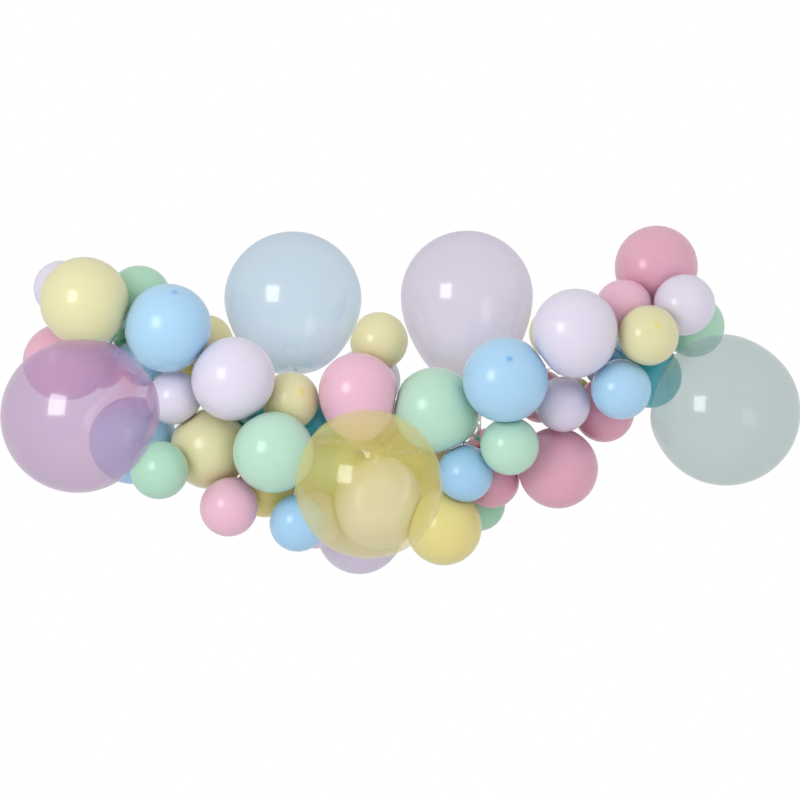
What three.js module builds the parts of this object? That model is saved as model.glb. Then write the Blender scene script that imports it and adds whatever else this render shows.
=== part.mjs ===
// Balloon garland: latex balloons of three sizes and six pastel tints, five of them clear, packed
// round a clear holed decorating strip and tied to it by their necks. Millimetres, +Z up, the side
// that is looked at faces -Y. The origin is on the flat back of the strip's left hanging link.
import * as THREE from "three";

// Decorating strip: a flat ribbon with one round hole in every link.
const STRIP = { width: 14, thick: 1.2, pitch: 40, holeRadius: 4.8, holeSides: 6 };
// Neck, knot and rolled lip of a balloon; a free neck is one that is tucked between its neighbours.
const NECK = {
  radius: 2.3, knotRadius: 6.4, knotLength: 5, tail: 11, tailRadius: 3.6, free: 12, least: 8, standOff: 3,
};
// A balloon is a ball whose neck side draws out into half an ellipsoid, some radii long, and ends in
// a short cone, a share of the radius high. Clear balloons draw out the most.
const DRAW = { clear: 1.3, most: 1.1, least: 1.04, free: 1.06, cone: 0.07, spread: (17 / 180) * Math.PI };
// Where balloons press on each other they go flat; the higher the power, the sharper the flat's rim.
const PRESS_POWER = 24;
const CLEARANCE = 0.3;
// Sides and rings of the faceted ball, by size.
const FACETS = { small: [8, 4], large: [9, 5], clear: [11, 6] };
const LARGE_FROM = 90;

const TINTS = {
  yellow: { color: 0xe6e0a4, roughness: 0.38 },
  blue: { color: 0xa6d4f2, roughness: 0.38 },
  lilac: { color: 0xdcd6ec, roughness: 0.38 },
  green: { color: 0xb2e4c8, roughness: 0.38 },
  pink: { color: 0xe3a9c0, roughness: 0.38 },
  teal: { color: 0x4fa3a8, roughness: 0.38 },
  clear_pink: { color: 0xcfb2cf, roughness: 0.12, opacity: 0.45 },
  clear_blue: { color: 0xc0d8e8, roughness: 0.12, opacity: 0.45 },
  clear_lilac: { color: 0xd0cbdd, roughness: 0.12, opacity: 0.45 },
  clear_yellow: { color: 0xd6d08c, roughness: 0.12, opacity: 0.45 },
  clear_mint: { color: 0xb7cbc9, roughness: 0.12, opacity: 0.45 },
  clear_plastic: { color: 0xdfe4e6, roughness: 0.15, opacity: 0.4 },
};

// Each balloon: name, tint, radius, then the place of its centre: across, back, up.
const BALLOONS = [
  ["clear_pink", "clear_pink", 195, -818, -130, -41],
  ["clear_blue", "clear_blue", 181, -282, 80, 263],
  ["clear_lilac", "clear_lilac", 175, 177, 105, 273],
  ["clear_yellow", "clear_yellow", 185, -78, -205, -213],
  ["clear_mint", "clear_mint", 188, 829, -120, -30],
  ["lilac_top_left", "lilac", 74, -895, 105, 295],
  ["yellow_top_left", "yellow", 114, -812, -60, 254],
  ["green_top_left", "green", 85, -689, 90, 270],
  ["blue_top_left", "blue", 111, -596, -60, 188],
  ["yellow_tucked_left", "yellow", 69, -509, 95, 155],
  ["pink_far_left", "pink", 101, -898, 115, 101],
  ["lilac_mid_left", "lilac", 107, -428, -70, 55],
  ["lilac_small_left", "lilac", 71, -591, 30, 6],
  ["yellow_small_left", "yellow", 74, -285, 15, 0],
  ["green_small_left", "green", 75, -621, -45, -181],
  ["blue_low_left", "blue", 116, -712, 145, -108],
  ["yellow_low_left", "yellow", 105, -501, 70, -129],
  ["pink_low_left", "pink", 75, -444, -15, -279],
  ["green_mid_left", "green", 104, -324, -85, -134],
  ["blue_low_mid", "blue", 73, -265, -20, -320],
  ["yellow_deep_left", "yellow", 77, -357, 95, -233],
  ["teal_deep_left", "teal", 70, -218, 125, -56],
  ["pink_mid", "pink", 103, -108, -30, 20],
  ["yellow_top_mid", "yellow", 76, -55, 60, 155],
  ["lilac_deep_mid", "lilac", 89, -88, 150, 52],
  ["green_mid", "green", 109, 91, -20, -24],
  ["blue_mid", "blue", 109, 268, -130, 51],
  ["lilac_big_right", "lilac", 109, 444, -150, 173],
  ["lilac_small_right", "lilac", 71, 422, -20, -12],
  ["green_small_mid", "green", 75, 282, -78, -118],
  ["blue_small_mid", "blue", 73, 169, -12, -192],
  ["pink_low_right", "pink", 105, 415, 60, -180],
  ["pink_deep_right", "pink", 75, 242, 118, -212],
  ["green_low_right", "green", 73, 212, 240, -282],
  ["yellow_low_right", "yellow", 99, 115, 45, -334],
  ["lilac_core_mid", "lilac", 120, -55, 78, -274],
  ["lilac_low_mid", "lilac", 116, -110, 260, -357],
  ["lilac_low_deep", "lilac", 74, -225, 115, -320],
  ["pink_top_right", "pink", 109, 676, 85, 351],
  ["pink_small_right", "pink", 75, 580, -18, 238],
  ["lilac_top_right", "lilac", 79, 732, -55, 245],
  ["yellow_small_right", "yellow", 77, 631, -135, 164],
  ["green_far_right", "green", 82, 776, 100, 195],
  ["blue_small_right", "blue", 77, 565, -100, 27],
  ["teal_deep_right", "teal", 83, 655, 45, 62],
  ["pink_lower_right", "pink", 80, 541, 115, -32],
  ["yellow_deep_right", "yellow", 65, 465, 235, 0],
  ["yellow_top_right", "yellow", 69, 413, 145, 179],
  ["pink_core_right", "pink", 66, 244, 245, -141],
  ["green_core_left", "green", 113, -200, 222, -186],
  ["green_tucked_left", "green", 67, -718, 225, 190],
  ["blue_tucked_left", "blue", 66, -688, 165, 102],
  ["teal_back_mid_left", "teal", 83, -389, 190, -54],
  ["pink_deep_mid", "pink", 69, 376, 140, 8],
  ["pink_back_mid", "pink", 84, -73, 228, -58],
  ["blue_back_right", "blue", 75, 568, 205, 100],
  ["pink_back_far_left", "pink", 65, -812, 258, 95],
  ["yellow_back_left", "yellow", 76, -543, 225, 116],
  ["yellow_back_mid", "yellow", 114, 30, 257, -158],
];

// A balloon that is tied to a chosen hole, and ones whose free neck points a given way.
const CHOSEN_HOLES = { clear_pink: 7 };
const FREE_NECKS = {
  clear_blue: { out: [0, 0.64, -0.77], long: 1.24, neck: 12 },
  clear_lilac: { out: [0, 0.12, -0.99], long: 1.4, neck: 12 },
  clear_mint: { out: [-0.565, 0.48, 0.67], long: 1.14, neck: 12 },
  lilac_top_right: { out: [-0.45, 0.85, -0.25], long: 1.06, neck: 12 },
  pink_far_left: { out: [0.975, 0.1, -0.17], long: 1.24, neck: 34 },
  pink_low_right: { out: [-0.35, 0.75, 0.56], long: 1.1, neck: 12 },
  lilac_big_right: { out: [0.1, 0.6, -0.79], long: 1.12, neck: 12 },
  pink_back_far_left: { out: [0.3, 0.92, 0.2], long: 1.06, neck: 12 },
  blue_low_left: { out: [0.2, 0.85, 0.5], long: 1.06, neck: 12 },
  pink_mid: { out: [0.04, 0.25, -0.97], long: 1.25, neck: 12 },
  yellow_top_mid: { out: [-0.15, 0.95, 0.25], long: 1.06, neck: 12 },
  green_small_left: { out: [0.1, 0.95, 0.3], long: 1.06, neck: 12 },
};

// The strip's run through the pack; both ends rise straight and flat behind the top balloons.
const RUN = [
  [-778, 200, 275], [-778, 200, 245], [-778, 200, 215], [-778, 200, 185], [-770, 150, 140],
  [-725, 90, 90], [-650, 50, 60], [-555, 85, 60], [-470, 60, -15], [-370, 75, -72],
  [-260, 75, -104], [-150, 78, -112], [-60, 82, -130], [60, 90, -140], [160, 65, -118],
  [204, 45, -90], [209, 45, -38], [240, 60, 25], [370, 70, 75], [455, 60, 92], [540, 60, 115],
  [600, 60, 165], [650, 70, 205], [690, 130, 215], [703, 190, 235], [703, 190, 265],
  [703, 190, 295], [703, 190, 325],
];

const vec = (x, y, z) => new THREE.Vector3(x, y, z);
const BACKWARD = vec(0, 1, 0);

// ---- the strip's links -------------------------------------------------------------------------

function stripLinks() {
  const curve = new THREE.CatmullRomCurve3(RUN.map((p) => vec(...p)), false, "catmullrom", 0.5);
  const length = curve.getLength();
  const count = Math.round(length / STRIP.pitch);
  const at = (step) => {
    const u = step / (2 * count);
    return { point: curve.getPointAt(u), along: curve.getTangentAt(u) };
  };
  const stations = Array.from({ length: 2 * count + 1 }, (_, step) => at(step));
  return { count, edges: stations.filter((_, k) => k % 2 === 0), holes: stations.filter((_, k) => k % 2) };
}

// The face normal at a station, turned about the run by an angle from the direction nearest to +Y.
function faceAxes(station, turn) {
  const t = station.along;
  const n = BACKWARD.clone().addScaledVector(t, -t.y).normalize();
  const b = vec(0, 0, 0).crossVectors(t, n);
  const normal = n.clone().multiplyScalar(Math.cos(turn)).addScaledVector(b, Math.sin(turn));
  return { normal, across: vec(0, 0, 0).crossVectors(t, normal) };
}

function turnTowards(station, direction) {
  const { normal, across } = faceAxes(station, 0);
  return Math.atan2(direction.dot(across), direction.dot(normal));
}

// ---- which hole each neck is tied through --------------------------------------------------------

function nearestOnSegment(a, b, c) {
  const d = b.clone().sub(a);
  const t = THREE.MathUtils.clamp(c.clone().sub(a).dot(d) / d.lengthSq(), 0, 1);
  return a.clone().addScaledVector(d, t);
}

function clearOfBalls(balloons, self, a, b) {
  let least = Infinity;
  for (const other of balloons) {
    if (other === self) continue;
    const away = nearestOnSegment(a, b, other.centre).distanceTo(other.centre);
    least = Math.min(least, (away - other.radius) / other.radius);
  }
  return least;
}

function isClear(balloon) {
  return balloon.tint.startsWith("clear");
}

function bestHole(balloon, balloons, links, taken) {
  const chosen = CHOSEN_HOLES[balloon.name];
  const kept = Object.values(CHOSEN_HOLES);
  let best = null;
  for (let k = 2; k < links.count - 2; k += 1) {
    if (taken.has(k) || (chosen ? k !== chosen : kept.includes(k))) continue;
    const hole = links.holes[k];
    const out = hole.point.clone().sub(balloon.centre);
    const reach = out.length();
    const most = (reach - NECK.least) / balloon.radius - DRAW.cone;
    const long = THREE.MathUtils.clamp(most, DRAW.least, isClear(balloon) ? DRAW.clear : DRAW.most);
    const neck = reach - balloon.radius * (long + DRAW.cone);
    out.normalize();
    const slant = Math.abs(out.dot(hole.along));
    if (neck < NECK.least - 0.01 || neck > 55 + 0.25 * balloon.radius || slant > 0.36) continue;
    const from = balloon.centre.clone().addScaledVector(out, balloon.radius);
    const to = hole.point.clone().addScaledVector(out, NECK.knotLength + NECK.tail);
    const room = clearOfBalls(balloons, balloon, from, to);
    if (room < -0.2) continue;
    const cost = neck / 60 + slant - 2.5 * Math.min(room, 0);
    const knot = neck + STRIP.thick + NECK.standOff + NECK.knotRadius * slant;
    if (!best || cost < best.cost) best = { cost, k, out, long, knot };
  }
  return best;
}

// ---- a free neck points into the roomiest gap on the inner side, and out of sight ----------------

function freeNeck(balloon, balloons, links, necks) {
  const inward = links.holes.slice(5, -5)
    .map((hole) => hole.point)
    .reduce((a, b) => (a.distanceTo(balloon.centre) < b.distanceTo(balloon.centre) ? a : b))
    .clone().sub(balloon.centre).normalize();
  const reach = balloon.radius * (DRAW.free + DRAW.cone) + NECK.free + NECK.knotLength + NECK.tail;
  const tries = 300;
  let best = null;
  for (let k = 0; k < tries; k += 1) {
    const up = 1 - (2 * k + 1) / tries;
    const round = k * Math.PI * (3 - Math.sqrt(5));
    const out = vec(Math.sqrt(1 - up * up) * Math.cos(round), Math.sqrt(1 - up * up) * Math.sin(round), up);
    const facing = out.dot(inward);
    if (facing < 0.1) continue;
    const from = balloon.centre.clone().addScaledVector(out, balloon.radius * 1.05);
    const to = balloon.centre.clone().addScaledVector(out, reach);
    let room = clearOfBalls(balloons, balloon, from, to) * 80 - NECK.knotRadius;
    for (let e = 0; e < links.count; e += 1) {
      const near = segmentGap(from, to, links.edges[e].point, links.edges[e + 1].point);
      room = Math.min(room, near - STRIP.width / 2 - NECK.knotRadius - 2);
    }
    for (const neck of necks) {
      room = Math.min(room, segmentGap(from, to, neck.from, neck.to) - 2 * NECK.knotRadius - 1);
    }
    const seen = balloon.centre.y < 100 ? Math.max(0, 0.5 - out.y) : 0;
    const cost = 1.5 * seen - 0.8 * facing + Math.max(0, 2 - room) / 12;
    if (!best || cost < best.cost) best = { cost, out };
  }
  return { out: best.out, long: DRAW.free, neck: NECK.free };
}

// Least distance between two straight stretches, by stepping along the first.
function segmentGap(a, b, c, d) {
  let least = Infinity;
  for (let k = 0; k <= 8; k += 1) {
    const p = a.clone().lerp(b, k / 8);
    least = Math.min(least, nearestOnSegment(c, d, p).distanceTo(p));
  }
  return least;
}

function tieUp(balloons, links) {
  const taken = new Map();
  const reachOf = (balloon) =>
    Math.min(...links.holes.map((hole) => hole.point.distanceTo(balloon.centre))) - balloon.radius;
  const nearestFirst = [...balloons].sort((a, b) => reachOf(a) - reachOf(b));
  for (const balloon of nearestFirst) {
    const hole = FREE_NECKS[balloon.name] ? null : bestHole(balloon, balloons, links, taken);
    if (!hole) continue;
    taken.set(hole.k, hole.out);
    Object.assign(balloon, { out: hole.out, long: hole.long, neck: hole.knot, tied: true });
  }
  const necks = [];
  const addNeck = (balloon) => {
    balloon.root = balloon.radius * (balloon.long + DRAW.cone);
    const end = balloon.root + balloon.neck + NECK.knotLength + NECK.tail;
    balloon.from = balloon.centre.clone().addScaledVector(balloon.out, balloon.radius);
    balloon.knot = balloon.centre.clone().addScaledVector(balloon.out, balloon.root + balloon.neck);
    balloon.to = balloon.centre.clone().addScaledVector(balloon.out, end);
    necks.push(balloon);
  };
  for (const [name, { out, ...rest }] of Object.entries(FREE_NECKS)) {
    const balloon = balloons.find((b) => b.name === name);
    Object.assign(balloon, { out: vec(...out).normalize(), ...rest });
  }
  balloons.filter((balloon) => balloon.out).forEach(addNeck);
  for (const balloon of balloons.filter((b) => !b.out)) {
    Object.assign(balloon, freeNeck(balloon, balloons, links, necks));
    addNeck(balloon);
  }
  return taken;
}

// ---- the pressed shape of one balloon ------------------------------------------------------------

// Planes that a balloon stays behind: half-way flats against its neighbours, and flats that keep it
// off the strip and off the other balloons' necks. Each is a unit normal and a distance.
function pressPlanes(balloon, balloons, links) {
  const planes = [];
  const keepOff = (point, margin, within) => {
    const normal = point.clone().sub(balloon.centre);
    const distance = normal.length() - margin;
    if (distance < within * balloon.radius) planes.push({ normal: normal.normalize(), distance });
  };
  for (const other of balloons) {
    if (other === balloon) continue;
    const apart = other.centre.clone().sub(balloon.centre);
    const far = apart.length();
    if (far < 1.35 * (balloon.radius + other.radius)) {
      const flat = (far * far + balloon.radius ** 2 - other.radius ** 2) / (2 * far);
      planes.push({ normal: apart.normalize(), distance: flat - CLEARANCE / 2 });
    }
    keepOff(nearestOnSegment(other.from, other.knot, balloon.centre), NECK.radius + 1, 1.2);
    keepOff(nearestOnSegment(other.knot, other.to, balloon.centre), NECK.knotRadius + 1, 1.2);
  }
  for (const [k, hole] of links.holes.entries()) {
    for (const edge of [links.edges[k], links.edges[k + 1]]) {
      keepOff(nearestOnSegment(edge.point, hole.point, balloon.centre), STRIP.width / 2 + 1, 1.1);
    }
  }
  return planes;
}

// The radius at an angle from the neck, before any pressing.
function freeRadius(balloon, fromNeck) {
  const share = Math.max(Math.cos(fromNeck), 0);
  const drawn = 1 / Math.sqrt(1 - share ** 2 + (share / balloon.long) ** 2);
  return balloon.radius * (drawn + DRAW.cone * Math.exp(-((fromNeck / DRAW.spread) ** 2)));
}

// The smooth least of the free radius and every plane along a direction, as a power sum.
function pressedRadius(balloon, direction) {
  const fromNeck = Math.acos(THREE.MathUtils.clamp(direction.dot(balloon.out), -1, 1));
  const free = freeRadius(balloon, fromNeck);
  let sum = 1;
  for (const { normal, distance } of balloon.planes) {
    const facing = normal.dot(direction);
    if (facing > 0) sum += ((free * facing) / distance) ** PRESS_POWER;
  }
  return free * sum ** (-1 / PRESS_POWER);
}

// ---- solids --------------------------------------------------------------------------------------

function solid(points, triangles) {
  const geometry = new THREE.BufferGeometry();
  const flat = points.flatMap((p) => [p.x, p.y, p.z]);
  geometry.setAttribute("position", new THREE.Float32BufferAttribute(flat, 3));
  geometry.setIndex(triangles);
  return geometry;
}

// Rings of equal size from a first point to a last one, joined into one closed skin.
function ringedSolid(first, rings, last) {
  const sides = rings[0].length;
  const points = [first, ...rings.flat(), last];
  const triangles = [];
  const at = (ring, side) => 1 + ring * sides + (side % sides);
  for (let side = 0; side < sides; side += 1) {
    triangles.push(0, at(0, side), at(0, side + 1));
    for (let ring = 0; ring < rings.length - 1; ring += 1) {
      triangles.push(at(ring, side), at(ring + 1, side), at(ring + 1, side + 1));
      triangles.push(at(ring, side), at(ring + 1, side + 1), at(ring, side + 1));
    }
    triangles.push(at(rings.length - 1, side), points.length - 1, at(rings.length - 1, side + 1));
  }
  return solid(points, triangles);
}

function balloonSolid(balloon) {
  const size = isClear(balloon) ? "clear" : balloon.radius > LARGE_FROM ? "large" : "small";
  const [sides, ringCount] = FACETS[size];
  const crown = balloon.out.clone().negate();
  const sideways = vec(0, 0, 1).cross(crown).normalize();
  const upward = vec(0, 0, 0).crossVectors(crown, sideways);
  const round = (side) => {
    const angle = (2 * Math.PI * side) / sides;
    return sideways.clone().multiplyScalar(Math.cos(angle)).addScaledVector(upward, Math.sin(angle));
  };
  const onSkin = (direction) =>
    balloon.centre.clone().addScaledVector(direction, pressedRadius(balloon, direction));
  const rings = [];
  for (let ring = 1; ring <= ringCount; ring += 1) {
    const angle = (Math.PI * ring) / (ringCount + 0.85);
    rings.push(Array.from({ length: sides }, (_, side) =>
      onSkin(crown.clone().multiplyScalar(Math.cos(angle)).addScaledVector(round(side), Math.sin(angle)))));
  }
  const tubeRing = (radius, reach) => Array.from({ length: sides }, (_, side) =>
    balloon.centre.clone().addScaledVector(balloon.out, reach).addScaledVector(round(side), radius));
  const neckStart = Math.min(pressedRadius(balloon, balloon.out) - 1.5, balloon.root);
  const knot = balloon.root + balloon.neck;
  rings.push(tubeRing(NECK.radius, neckStart));
  if (balloon.tied) rings.push(tubeRing(NECK.radius, knot - 0.4));
  rings.push(tubeRing(NECK.knotRadius, knot + 1.2));
  rings.push(tubeRing(NECK.tailRadius, knot + NECK.knotLength + NECK.tail));
  const end = balloon.centre.clone().addScaledVector(balloon.out, knot + NECK.knotLength + NECK.tail);
  return ringedSolid(onSkin(crown), rings, end);
}

// The strip is one solid: every link is a plate with a round hole, and its ends are shared with the
// links beside it. A link that holds a neck is turned to face it, and the strip twists in between.
// Each long side has a point level with the hole, so that it bends and twists clear of the hole's rim.
function stripSolid(links, taken) {
  const turns = links.holes.map((hole, k) => (taken.has(k) ? turnTowards(hole, taken.get(k)) : null));
  turns[0] = turns[1] = 0;
  turns[links.count - 1] = turns[links.count - 2] = 0;
  fillTurns(turns);
  const points = [];
  const triangles = [];
  const add = (station, axes, along, across, side) => {
    points.push(station.point.clone()
      .addScaledVector(station.along, along)
      .addScaledVector(axes.across, across)
      .addScaledVector(axes.normal, (side * STRIP.thick) / 2));
    return points.length - 1;
  };
  const half = STRIP.width / 2;
  const edgeTurn = (k) => {
    if (k === 0) return turns[0];
    if (k === links.count) return turns[links.count - 1];
    return (turns[k - 1] + turns[k]) / 2;
  };
  const corners = links.edges.map((edge, k) => {
    const axes = faceAxes(edge, edgeTurn(k));
    return [1, -1].map((side) => [add(edge, axes, 0, -half, side), add(edge, axes, 0, half, side)]);
  });
  const quad = (a, b, c, d) => triangles.push(a, b, c, a, c, d);
  links.holes.forEach((hole, k) => {
    const axes = faceAxes(hole, turns[k]);
    const ringOf = (side) => Array.from({ length: STRIP.holeSides }, (_, s) => {
      const angle = (2 * Math.PI * (s + 0.5)) / STRIP.holeSides;
      return add(hole, axes, -STRIP.holeRadius * Math.cos(angle), STRIP.holeRadius * Math.sin(angle), side);
    });
    const rings = [ringOf(1), ringOf(-1)];
    const sides = [1, -1].map((side) => [add(hole, axes, 0, -half, side), add(hole, axes, 0, half, side)]);
    [0, 1].forEach((face) => {
      const [lowBack, highBack] = corners[k][face];
      const [lowFront, highFront] = corners[k + 1][face];
      const [lowSide, highSide] = sides[face];
      const h = rings[face];
      const fan = [
        [highBack, h[0], lowBack], [lowBack, h[0], h[5]], [highBack, h[1], h[0]],
        [highBack, highSide, h[1]], [highSide, highFront, h[1]], [h[1], highFront, h[2]],
        [highFront, h[3], h[2]], [highFront, lowFront, h[3]], [h[3], lowFront, h[4]],
        [lowFront, lowSide, h[4]], [lowSide, lowBack, h[4]], [h[4], lowBack, h[5]],
      ];
      fan.forEach(([a, b, c]) => triangles.push(...(face === 0 ? [a, b, c] : [a, c, b])));
    });
    for (let s = 0; s < STRIP.holeSides; s += 1) {
      const next = (s + 1) % STRIP.holeSides;
      quad(rings[0][s], rings[0][next], rings[1][next], rings[1][s]);
    }
    const [top, under] = corners[k];
    const [topNext, underNext] = corners[k + 1];
    const [topSide, underSide] = sides;
    quad(top[0], topSide[0], underSide[0], under[0]);
    quad(topSide[0], topNext[0], underNext[0], underSide[0]);
    quad(top[1], under[1], underSide[1], topSide[1]);
    quad(topSide[1], underSide[1], underNext[1], topNext[1]);
  });
  const [top, under] = corners[0];
  quad(top[1], top[0], under[0], under[1]);
  const [lastTop, lastUnder] = corners[links.count];
  quad(lastTop[0], lastTop[1], lastUnder[1], lastUnder[0]);
  return solid(points, triangles);
}

// Turns are alike every half turn, so each known one is taken by the shorter way round from the one
// before, and the links between them turn by equal steps.
function fillTurns(turns) {
  let last = 0;
  for (let k = 1; k < turns.length; k += 1) {
    if (turns[k] === null) continue;
    const step = turns[k] - turns[last];
    turns[k] -= Math.PI * Math.round(step / Math.PI);
    for (let m = last + 1; m < k; m += 1) {
      turns[m] = turns[last] + ((turns[k] - turns[last]) * (m - last)) / (k - last);
    }
    last = k;
  }
}

// ---- the garland ---------------------------------------------------------------------------------

const links = stripLinks();
const balloons = BALLOONS.map(([name, tint, radius, ...place]) => {
  return { name, tint, radius, centre: vec(...place) };
});
const taken = tieUp(balloons, links);
balloons.forEach((balloon) => { balloon.planes = pressPlanes(balloon, balloons, links); });

function finish(name, geometry, tint) {
  const { opacity = 1, ...look } = TINTS[tint];
  const transparent = opacity < 1;
  const material = new THREE.MeshStandardMaterial({ ...look, metalness: 0, opacity, transparent });
  const mesh = new THREE.Mesh(geometry, material);
  mesh.name = name;
  return mesh;
}

const garland = new THREE.Group();
garland.add(finish("decorating_strip", stripSolid(links, taken), "clear_plastic"));
balloons.forEach((balloon) => garland.add(finish(balloon.name, balloonSolid(balloon), balloon.tint)));

// The hanging point: on the back face of the left end link, between its hole and its end.
const endEdge = links.edges[0].point;
const endHole = links.holes[0].point;
const hangingPoint = endEdge.clone().lerp(endHole, 0.4).addScaledVector(BACKWARD, STRIP.thick / 2);
garland.position.copy(hangingPoint).negate();

export default garland;
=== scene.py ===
"""A balloon garland: pastel and clear latex balloons packed round a clear holed strip.

Every balloon is worked out again from the sizes of the solid model, with a far finer skin. The
tables are in millimetres, in the garland's own frame; IN_ROW puts a point into the row's frame.
"""

import math

import bmesh
import bpy
import numpy as np
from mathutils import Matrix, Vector


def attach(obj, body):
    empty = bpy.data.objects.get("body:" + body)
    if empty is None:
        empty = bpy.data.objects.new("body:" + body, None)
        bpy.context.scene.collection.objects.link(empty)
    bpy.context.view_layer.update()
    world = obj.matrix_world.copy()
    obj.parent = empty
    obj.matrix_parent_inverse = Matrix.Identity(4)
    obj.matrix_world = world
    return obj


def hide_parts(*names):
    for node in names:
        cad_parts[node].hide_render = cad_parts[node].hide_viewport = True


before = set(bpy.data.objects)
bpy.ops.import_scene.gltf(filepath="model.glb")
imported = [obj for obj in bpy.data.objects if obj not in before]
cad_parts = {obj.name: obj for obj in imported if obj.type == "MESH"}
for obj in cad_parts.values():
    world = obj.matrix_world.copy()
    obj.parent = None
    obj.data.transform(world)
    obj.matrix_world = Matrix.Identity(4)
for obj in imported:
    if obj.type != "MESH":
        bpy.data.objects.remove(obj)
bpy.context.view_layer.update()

# ---- sizes, in millimetres ----------------------------------------------------------------------

STRIP = dict(width=14.0, thick=1.2, pitch=40.0, hole=4.8)
NECK = dict(radius=2.3, knot_radius=6.4, knot_length=5.0, tail=11.0, tail_radius=3.6, least=8.0)
# radii that a balloon is long on its neck side, and the height and spread of the cone it ends in
DRAW = dict(clear=1.3, most=1.1, least=1.04, free=1.06, cone=0.07, spread=math.radians(17))
PRESS_POWER = 24
CLEARANCE = 0.3

# columns round and rows from crown to neck, by size
SKIN = {"small": (88, 46), "large": (112, 58), "clear": (144, 84)}
LARGE_FROM = 90

# angles from the crown of the body's rings: close ones round the teat, then even ones to the neck
CROWN_RINGS = np.radians([0.7, 1.4, 2.2, 3.1, 4.1, 5.3])
BODY_FROM, BODY_TO = math.radians(7), math.radians(166)
# where the rings' axis starts to lean over from the crown to the neck's line, and over what angle
LEAN_FROM, LEAN_OVER = math.radians(20), math.radians(130)
# the teat at the crown: sizes, height for its size, and how much there is of it on a hidden crown
TEAT = dict(clear=9.0, opaque=4.5, height=0.34, hidden=0.12)
# the flare from body to tube: steps, and how deep its pleats are on clear and opaque balloons
FLARE_STEPS = 13
PLEATS = dict(clear=0.02, opaque=0.07, round=13)
# the knot: steps past its start, with the radius at each; the rolled lip: steps from the tail's end
KNOT_STEPS = np.array([-0.1, 0.5, 1.4, 2.6, 3.8, 4.8, 5.6, 6.4])
KNOT_RADII = [2.9, 4.9, 6.2, 6.4, 5.9, 4.6, 3.3, 2.7]
LIP_STEPS = np.array([-1.7, -1.2, -0.7, -0.3, -0.1, -0.3, -1.0])
LIP_RADII = [4.0, 4.5, 4.8, 4.6, 4.1, 3.4, 3.1]

# a link's rings from its hole out: share of the way to the rim, and lift; the first five are round
# and stand this far off the hole
LINK_SPOKES = 32
RING_SHARE = np.array([0, 0.05, 0.13, 0.2, 0.28, 0.6, 1.0])
RING_LIFT = np.array([0, 0.25, 0.35, 0.3, 0, 0, 0])
HOLE_RINGS = np.array([0, 0.5, 1.1, 1.7, 2.2])
EDGE_MARGIN = 0.15

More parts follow.
